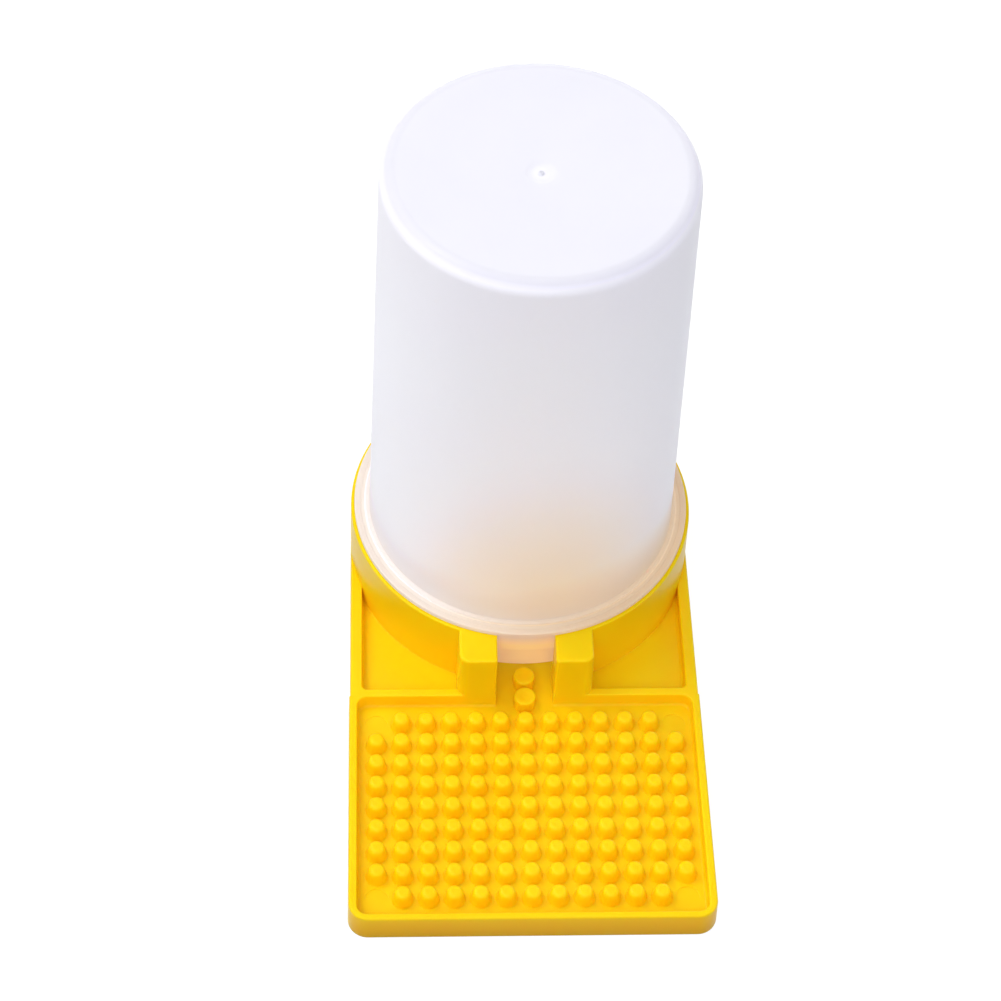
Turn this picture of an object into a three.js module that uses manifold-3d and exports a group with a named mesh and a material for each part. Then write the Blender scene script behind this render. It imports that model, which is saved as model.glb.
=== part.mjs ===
// Hive entrance feeder
// A yellow moulded base with a knobbed drinking tray, a short channel and a round cup,
// and a milky syrup bottle that stands upside down in the cup and lifts out to be filled.
// Millimetres. +Z is up, +Y runs from the tray to the bottle, +X is to the right.
// The origin is on the surface that the feeder stands on, under the middle of its length.
import * as THREE from 'three';
import { mergeVertices } from 'three/addons/utils/BufferGeometryUtils.js';
import Module from 'manifold-3d';

// Base: overall form
const baseWidth = 85.4;
const deckStep = 0.25; // the sides stand in by this much behind the tray
const trayLength = 59.8; // inside the walls
const trayWall = 2.1;
const trayDepth = 3.9;
const floorThickness = 2;
const undersideDepth = 1.6; // hollow under the floor
const frontCornerRadius = 4.7;
const trayCornerRadius = 2.6;
const sideDraft = 0.2; // width lost on each side from the bottom to the rim
const edgeRound = 0.5; // on every outer edge of the base
const innerEdgeRound = 0.3;
const floorFillet = 0.9;
const footFillet = 0.4; // round the outside of the cup's foot

// Base: knobs
const knobPitch = 6;
const knobMargin = 4.4; // least distance from a knob's middle to a tray wall
const knobHeight = 3.6;
const knobFootRadius = 2.6;
const knobShoulderRadius = 2;
const knobTopRadius = 1.45;
const knobCrown = 0.8; // height of the sloping crown
const channelKnobRadius = 2.6;
const channelKnobEdge = 0.5;
const channelKnobGap = 1; // least distance from a channel knob to the bottle
const ejectorRadius = 2.8;
const ejectorDepth = 0.2;

// Base: pockets beside the channel
const pocketWall = 3;
const pocketCornerRadius = 1.5;

// Base: channel and its posts
const slotWidth = 14;
const slotDraft = 0.2;
const postWidth = 9.1;
const postDraft = 0.4;
const postCornerRadius = 2.4;
const postRound = 0.8;
const postShell = 1.6; // the posts are cored from below
const channelLength = 5.95; // from the front of the posts to the cup

// Base: cup
const cupHeight = 21.7;
const cupWall = 1.5; // at the rim
const cupDraft = 0.3; // taken off the outside and given to the bore, from floor to rim
const cupRimRound = 0.45;

// Base: ribs under the floor
const ribWidth = 1.2;
const trayRibSpacing = 20.5;

// Bottle: flange and lip
const seatGap = 0.3; // between the flange and the cup's rim
const rimShow = 0.85; // the cup's rim shows this far past the flange
const lipClearance = 0.45; // between the lip and the bore
const flangeThickness = 0.9;
const flangeEdge = 0.3;
const lipDepth = 7.2;
const lipThickness = 1.2;
const lipGroove = 1.45; // between the lip and the tube
const beadWidth = 1.1;
const beadHeight = 0.5;
const ringGrooveWidth = 0.6;
const ringGrooveDepth = 0.3;
const ringGrooveInset = 1.4; // from the flange's edge

// Bottle: tube, mouth and closed end
const tubeLength = 115; // from the flange to the closed end
const tubeDraftDegrees = 1.2;
const bottleWall = 1.3;
const endWall = 1.5;
const endRound = 3.4;
const endDish = 1.2;
const mouthGap = 1.9; // from the cup's floor to the mouth
const mouthRound = 0.4;
const gateRadius = 3.7;
const gateDepth = 0.4;
const gateSlope = 0.9;
const gateNubRadius = 0.5;
const gateNubHeight = 0.45;

// Fineness of the facets
const roundSteps = 60;
const cornerSteps = 5;
const edgeSteps = 3;
const knobSides = 8;
const channelKnobSides = 14;
const dishSteps = 5;

// Cuts run past the faces that they open
const overrun = 2;

// Levels, measured up from the surface that the feeder stands on
const floorZ = undersideDepth + floorThickness;
const rimZ = floorZ + trayDepth;
const insideFloorZ = undersideDepth + floorThickness / 2;

// Places along the base
const halfWidth = baseWidth / 2;
const deckHalfWidth = halfWidth - deckStep;
const cupFootRadius = deckHalfWidth;
const cupSetback = channelLength + cupFootRadius;
const frontY = -(trayWall + trayLength + cupSetback + deckHalfWidth) / 2;
const trayFrontY = frontY + trayWall;
const trayBackY = trayFrontY + trayLength;
const cupY = trayBackY + cupSetback;

// Cup radii
const cupRimRadius = cupFootRadius - cupDraft;
const boreRimRadius = cupRimRadius - cupWall;
const boreFootRadius = boreRimRadius - cupDraft;

// Bottle radii and levels
const flangeRadius = cupRimRadius - rimShow;
const lipRadius = boreRimRadius - lipClearance;
const tubeRadius = lipRadius - lipThickness - lipGroove;
const flangeBottomZ = cupHeight + seatGap;
const flangeTopZ = flangeBottomZ + flangeThickness;
const mouthZ = floorZ + mouthGap;
const endZ = flangeTopZ + tubeLength;
const tubeSlope = Math.tan(THREE.MathUtils.degToRad(tubeDraftDegrees));

const wasm = await Module();
wasm.setup();

// Turns a closed three.js geometry into a solid that can be joined and cut
function solid(geometry) {
  const bare = geometry.clone();
  bare.deleteAttribute('normal');
  bare.deleteAttribute('uv');
  const welded = mergeVertices(bare);
  const corners = welded.index.array;
  const triangles = [];
  for (let i = 0; i < corners.length; i += 3) {
    const [a, b, c] = corners.slice(i, i + 3);
    if (a !== b && b !== c && c !== a) triangles.push(a, b, c);
  }
  return new wasm.Manifold(new wasm.Mesh({
    numProp: 3,
    vertProperties: Float32Array.from(welded.attributes.position.array),
    triVerts: Uint32Array.from(triangles),
  }));
}

// Turns a solid back into a geometry
function geometryOf(body) {
  const { vertProperties, triVerts } = body.getMesh();
  const geometry = new THREE.BufferGeometry();
  geometry.setAttribute('position', new THREE.BufferAttribute(vertProperties, 3));
  geometry.setIndex(new THREE.BufferAttribute(triVerts, 1));
  geometry.computeVertexNormals();
  return geometry;
}

function joined(bodies) {
  return bodies.reduce((whole, body) => whole.add(body));
}

// Points on an arc, both ends included
function arc(x, y, radius, fromDegrees, toDegrees, steps) {
  return Array.from({ length: steps + 1 }, (_, i) => {
    const angle = THREE.MathUtils.degToRad(fromDegrees + ((toDegrees - fromDegrees) * i) / steps);
    return new THREE.Vector2(x + radius * Math.cos(angle), y + radius * Math.sin(angle));
  });
}

// A rectangle with rounded corners, seen from above, anticlockwise
function roundedRectangle({ left, right, front, back, radius }, inset = 0) {
  const round = Math.max(radius - inset, radius / 4);
  const reach = inset + round;
  return [
    ...arc(left + reach, front + reach, round, 180, 270, cornerSteps),
    ...arc(right - reach, front + reach, round, 270, 360, cornerSteps),
    ...arc(right - reach, back - reach, round, 0, 90, cornerSteps),
    ...arc(left + reach, back - reach, round, 90, 180, cornerSteps),
  ];
}

// The plan of the base: rounded in front, stepped in behind the tray, and a half round about the cup's axis
function basePlan(inset = 0) {
  const round = frontCornerRadius - inset;
  const side = halfWidth - inset - round;
  return [
    new THREE.Vector2(-halfWidth + inset, trayBackY),
    ...arc(-side, frontY + inset + round, round, 180, 270, cornerSteps),
    ...arc(side, frontY + inset + round, round, 270, 360, cornerSteps),
    new THREE.Vector2(halfWidth - inset, trayBackY),
    new THREE.Vector2(deckHalfWidth - inset, trayBackY + deckStep),
    ...arc(0, cupY, deckHalfWidth - inset, 0, 180, roundSteps / 2),
    new THREE.Vector2(-deckHalfWidth + inset, trayBackY + deckStep),
  ];
}

// A closed body through outlines that have as many points each, from the bottom up
function loft(levels) {
  const count = levels[0].outline.length;
  const positions = levels.flatMap(({ z, outline }) => outline.flatMap((p) => [p.x, p.y, z]));
  const index = [];
  for (let low = 0; low < (levels.length - 1) * count; low += count) {
    for (let i = 0; i < count; i += 1) {
      const j = (i + 1) % count;
      index.push(low + i, low + j, low + count + j, low + i, low + count + j, low + count + i);
    }
  }
  const top = (levels.length - 1) * count;
  for (const [a, b, c] of THREE.ShapeUtils.triangulateShape(levels[0].outline, [])) index.push(c, b, a);
  for (const [a, b, c] of THREE.ShapeUtils.triangulateShape(levels.at(-1).outline, [])) {
    index.push(top + a, top + b, top + c);
  }
  const geometry = new THREE.BufferGeometry();
  geometry.setAttribute('position', new THREE.Float32BufferAttribute(positions, 3));
  geometry.setIndex(index);
  return solid(geometry);
}

// A solid of revolution about a vertical axis; the profile runs up on its outside
function revolve(profile, sides, x = 0, y = 0) {
  const points = profile.map(([radius, height]) => new THREE.Vector2(radius, height));
  const geometry = new THREE.LatheGeometry(points, sides);
  geometry.rotateX(Math.PI / 2);
  geometry.translate(x, y, 0);
  return solid(geometry);
}

// A box between two corners
function box(low, high) {
  const size = high.clone().sub(low);
  const geometry = new THREE.BoxGeometry(size.x, size.y, size.z);
  geometry.translate(low.x + size.x / 2, low.y + size.y / 2, low.z + size.z / 2);
  return solid(geometry);
}

// Steps of a quarter round: how far it has turned in from its face and risen, as shares of its radius
function quarterRound(steps = edgeSteps) {
  return Array.from({ length: steps + 1 }, (_, i) => {
    const angle = (Math.PI / 2) * (i / steps);
    return { turned: 1 - Math.cos(angle), risen: Math.sin(angle) };
  });
}

// A hollow with a filleted floor and an eased upper edge, open at the top
function hollow(planAt, bottomZ, topZ) {
  const floor = quarterRound().map(({ turned, risen }) => ({
    z: bottomZ + floorFillet * turned,
    outline: planAt(floorFillet * (1 - risen)),
  }));
  return loft([
    ...floor,
    { z: topZ - innerEdgeRound, outline: planAt(0) },
    { z: topZ, outline: planAt(-innerEdgeRound) },
    { z: topZ + overrun, outline: planAt(-innerEdgeRound) },
  ]);
}

// The slab that the tray and pockets are sunk into
function baseBody() {
  const rim = quarterRound().map(({ turned, risen }) => ({
    z: rimZ - edgeRound * (1 - risen),
    outline: basePlan(sideDraft + edgeRound * turned),
  }));
  return loft([{ z: 0, outline: basePlan(edgeRound) }, { z: edgeRound, outline: basePlan() }, ...rim]);
}

function trayHollow() {
  const plan = {
    left: -halfWidth + trayWall,
    right: halfWidth - trayWall,
    front: trayFrontY,
    back: trayBackY,
    radius: trayCornerRadius,
  };
  return hollow((inset) => roundedRectangle(plan, inset), floorZ, rimZ);
}

// One hollow for both pockets: the cup and the posts fill its middle again
function pocketHollow() {
  const plan = {
    left: -deckHalfWidth + pocketWall,
    right: deckHalfWidth - pocketWall,
    front: trayBackY + trayWall,
    back: cupY,
    radius: pocketCornerRadius,
  };
  return hollow((inset) => roundedRectangle(plan, inset), floorZ, rimZ);
}

// The cup before it is bored; the fillet round its foot ends at the sides of the base
function cupBody() {
  const foot = quarterRound().map(({ turned, risen }) => [
    cupFootRadius + footFillet * (1 - risen),
    floorZ + footFillet * turned,
  ]);
  const rim = quarterRound().map(({ turned, risen }) => [
    cupRimRadius - cupRimRound * turned,
    cupHeight - cupRimRound * (1 - risen),
  ]);
  const profile = [[0, insideFloorZ], [cupFootRadius + footFillet, insideFloorZ], ...foot, ...rim, [0, cupHeight]];
  const sides = loft([
    { z: 0, outline: basePlan(sideDraft) },
    { z: cupHeight + overrun, outline: basePlan(sideDraft) },
  ]);
  return revolve(profile, roundSteps, 0, cupY).intersect(sides);
}

function cupBore() {
  const foot = quarterRound().map(({ turned, risen }) => [
    boreFootRadius - floorFillet * (1 - risen),
    floorZ + floorFillet * turned,
  ]);
  const profile = [
    [0, floorZ],
    ...foot,
    [boreRimRadius, cupHeight - innerEdgeRound],
    [boreRimRadius + innerEdgeRound, cupHeight],
    [boreRimRadius + innerEdgeRound, cupHeight + overrun],
    [0, cupHeight + overrun],
  ];
  return revolve(profile, roundSteps, 0, cupY);
}

// Both posts in one block, which the slot then parts; its back lies inside the bore
function postBlock() {
  const half = slotWidth / 2 + postWidth;
  const plan = { front: trayBackY, back: cupY - boreFootRadius / 2, radius: postCornerRadius };
  const outline = (widening, inset) => roundedRectangle(
    { ...plan, left: -half - widening, right: half + widening },
    inset,
  );
  const top = quarterRound().map(({ turned, risen }) => ({
    z: cupHeight - postRound * (1 - risen),
    outline: outline(0, postRound * turned),
  }));
  return loft([{ z: insideFloorZ, outline: outline(postDraft, 0) }, ...top]);
}

// The slot between the posts, through the cup's wall, with its floor level with the tray's
function slot() {
  const level = (z, halfSlot) => ({
    z,
    outline: [
      new THREE.Vector2(-halfSlot, trayBackY - floorFillet - overrun),
      new THREE.Vector2(halfSlot, trayBackY - floorFillet - overrun),
      new THREE.Vector2(halfSlot, cupY),
      new THREE.Vector2(-halfSlot, cupY),
    ],
  });
  return loft([level(floorZ, slotWidth / 2 - slotDraft), level(cupHeight + overrun, slotWidth / 2)]);
}

// The hollow under the floor, less the ribs that run under the walls, the tray and the cup
function undersideHollow() {
  const hollowed = loft([
    { z: -overrun, outline: basePlan(trayWall) },
    { z: undersideDepth, outline: basePlan(trayWall + sideDraft) },
  ]);
  const low = -overrun;
  const high = undersideDepth + overrun;
  const corner = (x, y, z) => new THREE.Vector3(x, y, z);
  const ringWidth = trayWall;
  const ring = revolve([
    [deckHalfWidth - ringWidth, low],
    [deckHalfWidth, low],
    [deckHalfWidth, high],
    [deckHalfWidth - ringWidth, high],
    [deckHalfWidth - ringWidth, low],
  ], roundSteps, 0, cupY);
  const crossRib = box(
    corner(-halfWidth, trayBackY, low),
    corner(halfWidth, trayBackY + trayWall, high),
  );
  const trayRibs = [-trayRibSpacing, 0, trayRibSpacing].map((x) => box(
    corner(x - ribWidth / 2, frontY, low),
    corner(x + ribWidth / 2, trayBackY + trayWall / 2, high),
  ));
  const cupRibs = [
    box(corner(-deckHalfWidth + ringWidth / 2, cupY - ribWidth / 2, low),
      corner(deckHalfWidth - ringWidth / 2, cupY + ribWidth / 2, high)),
    box(corner(-ribWidth / 2, cupY - deckHalfWidth + ringWidth / 2, low),
      corner(ribWidth / 2, cupY + deckHalfWidth - ringWidth / 2, high)),
  ];
  return hollowed.subtract(joined([ring, crossRib, ...trayRibs, ...cupRibs]));
}

// The posts are hollow, open below, and their back walls follow the cup's
function postCores() {
  const inner = slotWidth / 2 + postShell;
  const outer = slotWidth / 2 + postWidth - postShell;
  const cores = [[-outer, -inner], [inner, outer]].map(([left, right]) => {
    const plan = { left, right, front: trayBackY + postShell, back: cupY, radius: postShell / 2 };
    return loft([
      { z: -overrun, outline: roundedRectangle(plan) },
      { z: cupHeight - postShell, outline: roundedRectangle(plan, slotDraft) },
    ]);
  });
  const skinRadius = boreRimRadius + postShell;
  const cupSkin = revolve([
    [0, -2 * overrun],
    [skinRadius, -2 * overrun],
    [skinRadius, cupHeight],
    [0, cupHeight],
  ], roundSteps, 0, cupY);
  return joined(cores).subtract(cupSkin);
}

function knob(x, y) {
  const topZ = floorZ + knobHeight;
  return revolve([
    [0, insideFloorZ],
    [knobFootRadius, insideFloorZ],
    [knobFootRadius, floorZ],
    [knobShoulderRadius, topZ - knobCrown],
    [knobTopRadius, topZ],
    [0, topZ],
  ], knobSides, x, y);
}

function channelKnob(y) {
  const topZ = floorZ + knobHeight;
  return revolve([
    [0, insideFloorZ],
    [channelKnobRadius, insideFloorZ],
    [channelKnobRadius, topZ - channelKnobEdge],
    [channelKnobRadius - channelKnobEdge, topZ],
    [0, topZ],
  ], channelKnobSides, 0, y);
}

// As many knobs as the tray's length or width has room for, less one
function knobIntervals(room) {
  return Math.floor((room - 2 * knobMargin) / knobPitch);
}

const columnIntervals = knobIntervals(baseWidth - 2 * trayWall);
const rowIntervals = knobIntervals(trayLength);
const firstKnobX = -(columnIntervals * knobPitch) / 2;
const firstKnobY = trayFrontY + (trayLength - rowIntervals * knobPitch) / 2;
const lastKnobY = firstKnobY + rowIntervals * knobPitch;

// The grid of knobs; its four corners hold the round marks of the ejector pins instead
function knobField() {
  const knobs = [];
  const ejectorMarks = [];
  for (let column = 0; column <= columnIntervals; column += 1) {
    for (let row = 0; row <= rowIntervals; row += 1) {
      const x = firstKnobX + column * knobPitch;
      const y = firstKnobY + row * knobPitch;
      const atCorner = (column % columnIntervals === 0) && (row % rowIntervals === 0);
      if (atCorner) {
        const markZ = floorZ - ejectorDepth;
        ejectorMarks.push(revolve([
          [0, markZ],
          [ejectorRadius, markZ],
          [ejectorRadius, floorZ + overrun],
          [0, floorZ + overrun],
        ], channelKnobSides, x, y));
      } else {
        knobs.push(knob(x, y));
      }
    }
  }
  return { knobs, ejectorMarks };
}

// The larger knobs carry the middle column on through the channel, up to the bottle
function channelKnobs() {
  const bottleFrontY = cupY - tubeRadius - (flangeTopZ - mouthZ) * tubeSlope;
  const knobs = [];
  for (let y = lastKnobY + knobPitch; y + channelKnobRadius + channelKnobGap < bottleFrontY; y += knobPitch) {
    knobs.push(channelKnob(y));
  }
  return knobs;
}

function feederBase() {
  const { knobs, ejectorMarks } = knobField();
  const sunk = baseBody().subtract(trayHollow()).subtract(pocketHollow());
  const raised = sunk.add(cupBody()).add(postBlock());
  const opened = raised.subtract(cupBore()).subtract(slot());
  const shelled = opened.subtract(undersideHollow()).subtract(postCores());
  return shelled.subtract(joined(ejectorMarks)).add(joined([...knobs, ...channelKnobs()]));
}

// The outer radius of the tube at a height; it narrows steadily towards the closed end
function tubeRadiusAt(z) {
  return tubeRadius - (z - flangeTopZ) * tubeSlope;
}

// The closed end is dished, so its height grows with the square of the distance from the axis
function endProfile(reach, rimHeight, dish) {
  return Array.from({ length: dishSteps }, (_, i) => {
    const share = 1 - i / dishSteps;
    return [reach * share, rimHeight - dish * (1 - share * share)];
  });
}

// The whole bottle is one profile, from the inside of the closed end, round the mouth, to the outside
function syrupBottle() {
  const innerEndZ = endZ - endWall;
  const innerRound = endRound - bottleWall;
  const outerCornerRadius = tubeRadiusAt(endZ - endRound);
  const innerCornerRadius = outerCornerRadius - bottleWall;
  const innerEnd = endProfile(innerCornerRadius - innerRound, innerEndZ, endDish).reverse();
  const innerCorner = quarterRound().slice(1).map(({ turned, risen }) => [
    innerCornerRadius - innerRound * (1 - risen),
    innerEndZ - innerRound * turned,
  ]);
  const mouthRadius = tubeRadiusAt(mouthZ);
  const mouth = [
    [mouthRadius - bottleWall, mouthZ + mouthRound],
    [mouthRadius - bottleWall + mouthRound, mouthZ],
    [mouthRadius - mouthRound, mouthZ],
    [mouthRadius, mouthZ + mouthRound],
  ];
  const lipBottomZ = flangeBottomZ - lipDepth;
  const lip = [
    [tubeRadiusAt(flangeBottomZ), flangeBottomZ],
    [lipRadius - lipThickness, flangeBottomZ],
    [lipRadius - lipThickness, lipBottomZ + flangeEdge],
    [lipRadius - lipThickness + flangeEdge, lipBottomZ],
    [lipRadius - flangeEdge, lipBottomZ],
    [lipRadius, lipBottomZ + flangeEdge],
    [lipRadius, flangeBottomZ],
  ];
  const grooveOuter = flangeRadius - ringGrooveInset;
  const flange = [
    [flangeRadius, flangeBottomZ],
    [flangeRadius, flangeTopZ - flangeEdge],
    [flangeRadius - flangeEdge, flangeTopZ],
    [grooveOuter, flangeTopZ],
    [grooveOuter - ringGrooveWidth / 2, flangeTopZ - ringGrooveDepth],
    [grooveOuter - ringGrooveWidth, flangeTopZ],
    [tubeRadius + beadWidth, flangeTopZ],
    [tubeRadius + beadWidth / 2, flangeTopZ + beadHeight],
    [tubeRadiusAt(flangeTopZ + 2 * beadHeight), flangeTopZ + 2 * beadHeight],
  ];
  const outerCorner = quarterRound(cornerSteps).map(({ turned, risen }) => [
    outerCornerRadius - endRound * turned,
    endZ - endRound * (1 - risen),
  ]);
  const outerEnd = endProfile(outerCornerRadius - endRound, endZ, endDish).slice(1);
  const gateZ = endZ - endDish;
  const gate = [
    [gateRadius, gateZ],
    [gateRadius - gateSlope, gateZ - gateDepth],
    [gateNubRadius, gateZ - gateDepth],
    [gateNubRadius, gateZ - gateDepth + gateNubHeight],
    [0, gateZ - gateDepth + gateNubHeight],
  ];
  const profile = [
    [0, innerEndZ - endDish - gateDepth],
    ...innerEnd,
    ...innerCorner,
    ...mouth,
    ...lip,
    ...flange,
    ...outerCorner,
    ...outerEnd,
    ...gate,
  ];
  return revolve(profile, roundSteps, 0, cupY);
}

function piece(name, body, material) {
  const mesh = new THREE.Mesh(geometryOf(body), material);
  mesh.name = name;
  return mesh;
}

const yellowPlastic = new THREE.MeshStandardMaterial({ color: 0xfdc304, roughness: 0.32, metalness: 0 });
const milkyPlastic = new THREE.MeshStandardMaterial({ color: 0xe9e9f2, roughness: 0.42, metalness: 0 });

const feeder = new THREE.Group();
feeder.name = 'hive_entrance_feeder';
feeder.add(piece('feeder_base', feederBase(), yellowPlastic));
feeder.add(piece('syrup_bottle', syrupBottle(), milkyPlastic));

export default feeder;
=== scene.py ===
"""Looks of a hive entrance feeder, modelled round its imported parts.

The feeder is a yellow moulded base, with a knobbed drinking tray, a channel and a round cup,
and a milky syrup bottle that stands upside down in the cup. Each is one fine mesh that stands
for the plain solid of the same piece. All lengths are in metres, written in millimetres.
"""

import logging
import math
from collections.abc import Callable, Iterator, Sequence
from contextlib import contextmanager
from dataclasses import dataclass
from enum import Enum

import bmesh
import bpy
from mathutils import Matrix, Vector


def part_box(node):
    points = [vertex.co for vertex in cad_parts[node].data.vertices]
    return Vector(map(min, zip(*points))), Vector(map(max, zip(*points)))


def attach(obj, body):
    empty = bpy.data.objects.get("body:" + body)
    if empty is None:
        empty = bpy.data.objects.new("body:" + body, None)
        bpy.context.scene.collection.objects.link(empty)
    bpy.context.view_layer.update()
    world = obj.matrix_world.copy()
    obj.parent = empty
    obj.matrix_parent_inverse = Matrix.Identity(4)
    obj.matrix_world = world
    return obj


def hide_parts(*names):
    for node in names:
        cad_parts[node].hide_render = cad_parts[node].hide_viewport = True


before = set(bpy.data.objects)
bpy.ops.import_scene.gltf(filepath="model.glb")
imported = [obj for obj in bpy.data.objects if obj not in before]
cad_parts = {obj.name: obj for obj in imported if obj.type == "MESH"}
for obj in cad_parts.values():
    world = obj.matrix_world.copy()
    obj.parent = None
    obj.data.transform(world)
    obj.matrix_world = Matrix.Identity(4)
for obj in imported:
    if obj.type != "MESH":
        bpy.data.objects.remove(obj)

MM = 0.001
CLOSE = 0.01 * MM  # places nearer than this are the same place
OVERRUN = 2 * MM  # cutters run past the faces that they open
FAR = 1000 * MM  # a reach so long that a pattern doesn't change along it
ROUND_STEPS = 144  # facets round the cup and the bottle
CORNER_STEPS = 12  # facets round an upright corner
EDGE_STEPS = 5  # facets across a rounded edge or a fillet
FLAT_DEGREES = 0.5  # faces that meet at less than this are one flat face
FLAT_WEIGHT = 90  # how much the size of a flat face counts in its shading
PLASTIC_IOR = 1.49  # how strongly both plastics bend light

Piece = bpy.types.Object
Socket = bpy.types.NodeSocket
Point = tuple[float, float, float]
Profile = list[tuple[float, float]]
Colour = tuple[float, float, float, float]
EdgeTest = Callable[[Vector, Vector], bool]

log = logging.getLogger("feeder")


class Join(Enum):
    """Ways of combining two closed meshes."""

    ADD = "UNION"
    CUT = "DIFFERENCE"
    KEEP_SHARED = "INTERSECT"


class Layer(Enum):
    """Ways of laying one colour on another."""

    PAINT = "MIX"
    TINT = "MULTIPLY"


class BodyName(Enum):
    """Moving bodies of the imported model."""

    BASE = "base"
    BOTTLE = "bottle"


@dataclass(frozen=True)
class Places:
    """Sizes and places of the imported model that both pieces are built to."""

    half_width: float  # half the width of the base at its tray
    deck_half_width: float  # the same behind the tray, where the sides stand in by a small step
    front_y: float  # the front of the base
    cup_y: float  # the axis of the cup and the bottle, along the base
    cup_rim_z: float  # the top of the cup
    flange_radius: float  # the outer radius of the bottle's flange
    mouth_z: float  # the lowest level of the bottle
    end_z: float  # the highest level of the bottle

    @classmethod
    def from_frame(cls) -> "Places":
        """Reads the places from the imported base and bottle.

        Returns:
            The places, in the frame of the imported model.
        """
        base_low, base_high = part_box("feeder_base")
        bottle_low, bottle_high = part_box("syrup_bottle")
        cup_y = (bottle_low.y + bottle_high.y) / 2
        return cls(
            half_width=base_high.x,
            deck_half_width=base_high.y - cup_y,
            front_y=base_low.y,
            cup_y=cup_y,
            cup_rim_z=base_high.z,
            flange_radius=bottle_high.x,
            mouth_z=bottle_low.z,
            end_z=bottle_high.z,
        )


def deselect_all() -> None:
    """Clears the selection of objects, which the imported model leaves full."""
    bpy.ops.object.select_all(action="DESELECT")


def make_active(piece: Piece) -> None:
    """Makes a piece the only selected one and the one that operators act on.

    Args:
        piece: The piece to work on.
    """
    deselect_all()
    piece.select_set(True)
    bpy.context.view_layer.objects.active = piece


@contextmanager
def editing(piece: Piece) -> Iterator[None]:
    """Opens a piece in edit mode and closes it again.

    Args:
        piece: The piece to edit.

    Yields:
        Nothing, while the piece is open.
    """
    make_active(piece)
    bpy.ops.object.mode_set(mode="EDIT")
    yield
    bpy.ops.object.mode_set(mode="OBJECT")


def select_edges(piece: Piece, wanted: EdgeTest) -> None:
    """Selects the edges of an open piece by the places of their two ends.

    Args:
        piece: The piece, in edit mode.
        wanted: Says of an edge's two ends whether the edge is selected.
    """
    bpy.ops.mesh.select_mode(type="EDGE")
    bpy.ops.mesh.select_all(action="DESELECT")
    mesh = bmesh.from_edit_mesh(piece.data)
    for edge in mesh.edges:
        edge.select_set(wanted(edge.verts[0].co, edge.verts[1].co))
    mesh.select_flush_mode()
    bmesh.update_edit_mesh(piece.data)


def upright(start: Vector, end: Vector) -> bool:
    """Says whether an edge climbs."""
    return abs(start.z - end.z) > CLOSE


def upright_at(x: float) -> EdgeTest:
    """Makes the test for edges that climb at a place across the base."""
    return lambda start, end: upright(start, end) and abs(start.x - x) < CLOSE


def ahead_of(y: float, wanted: EdgeTest) -> EdgeTest:
    """Narrows a test to edges that lie or begin in front of a line across the base."""
    return lambda start, end: wanted(start, end) and min(start.y, end.y) < y - CLOSE


def above(level: float) -> EdgeTest:
    """Makes the test for edges that lie at a level or over it."""
    return lambda start, end: min(start.z, end.z) > level - CLOSE


def below(level: float) -> EdgeTest:
    """Makes the test for edges that lie at a level or under it."""
    return lambda start, end: max(start.z, end.z) < level + CLOSE


def round_edges(piece: Piece, wanted: EdgeTest, radius: float, steps: int = EDGE_STEPS) -> None:
    """Rounds the wanted edges of an open piece, in so many facets."""
    select_edges(piece, wanted)
    bpy.ops.mesh.bevel(offset=radius, segments=steps, profile=0.5, affect="EDGES")


def extrude_edges(move: Point) -> None:
    """Extrudes the selected edges by a move."""
    bpy.ops.mesh.extrude_edges_move(TRANSFORM_OT_translate={"value": move})


def raise_faces(rise: float) -> None:
    """Extrudes the selected faces upwards."""
    bpy.ops.mesh.extrude_region_move(TRANSFORM_OT_translate={"value": (0, 0, rise)})


def settle(piece: Piece) -> Piece:
    """Puts a piece's place and size into its mesh, and leaves its object at the origin.

    Args:
        piece: The piece to settle.

    Returns:
        The same piece.
    """
    make_active(piece)
    bpy.ops.object.transform_apply(location=True, rotation=True, scale=True)
    return piece


def close_up(piece: Piece) -> Piece:
    """Merges doubled points, closes what is open and turns every face outwards.

    Args:
        piece: The piece to close.

    Returns:
        The same piece.
    """
    with editing(piece):
        bpy.ops.mesh.select_mode(type="VERT")
        bpy.ops.mesh.select_all(action="SELECT")
        bpy.ops.mesh.remove_doubles(threshold=CLOSE / 10)
        bpy.ops.mesh.fill_holes(sides=0)
        bpy.ops.mesh.select_all(action="SELECT")
        bpy.ops.mesh.normals_make_consistent(inside=False)
    return piece


def add_block(name: str, low: Point, high: Point) -> Piece:
    """Adds a block between two corners.

    Args:
        name: The block's name.
        low: The lowest corner.
        high: The highest corner.

    Returns:
        The block, settled at the origin.
    """
    deselect_all()
    middle = (Vector(low) + Vector(high)) / 2
    bpy.ops.mesh.primitive_cube_add(size=1, location=middle, scale=Vector(high) - Vector(low))
    block = bpy.context.object
    block.name = name
    return settle(block)


def turned(name: str, profile: Profile, steps: int, y: float = 0) -> Piece:
    """Makes a body of revolution by extruding and resizing a circle along a profile.

    Args:
        name: The body's name.
        profile: Radius and height of each ring, from the first to the last.
        steps: Number of facets round the body.
        y: Place of the axis along the base.

    Returns:
        The closed body. A profile that ends where it starts makes a ring.
    """
    deselect_all()
    radius, height = profile[0]
    bpy.ops.mesh.primitive_circle_add(vertices=steps, radius=radius, location=(0, y, height))
    body = settle(bpy.context.object)
    body.name = name
    with editing(body):
        bpy.ops.mesh.select_all(action="SELECT")
        for next_radius, next_height in profile[1:]:
            growth = next_radius / radius
            extrude_edges((0, 0, next_height - height))
            bpy.ops.transform.resize(value=(growth, growth, 1), center_override=(0, y, next_height))
            radius, height = next_radius, next_height
    return close_up(body)


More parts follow.
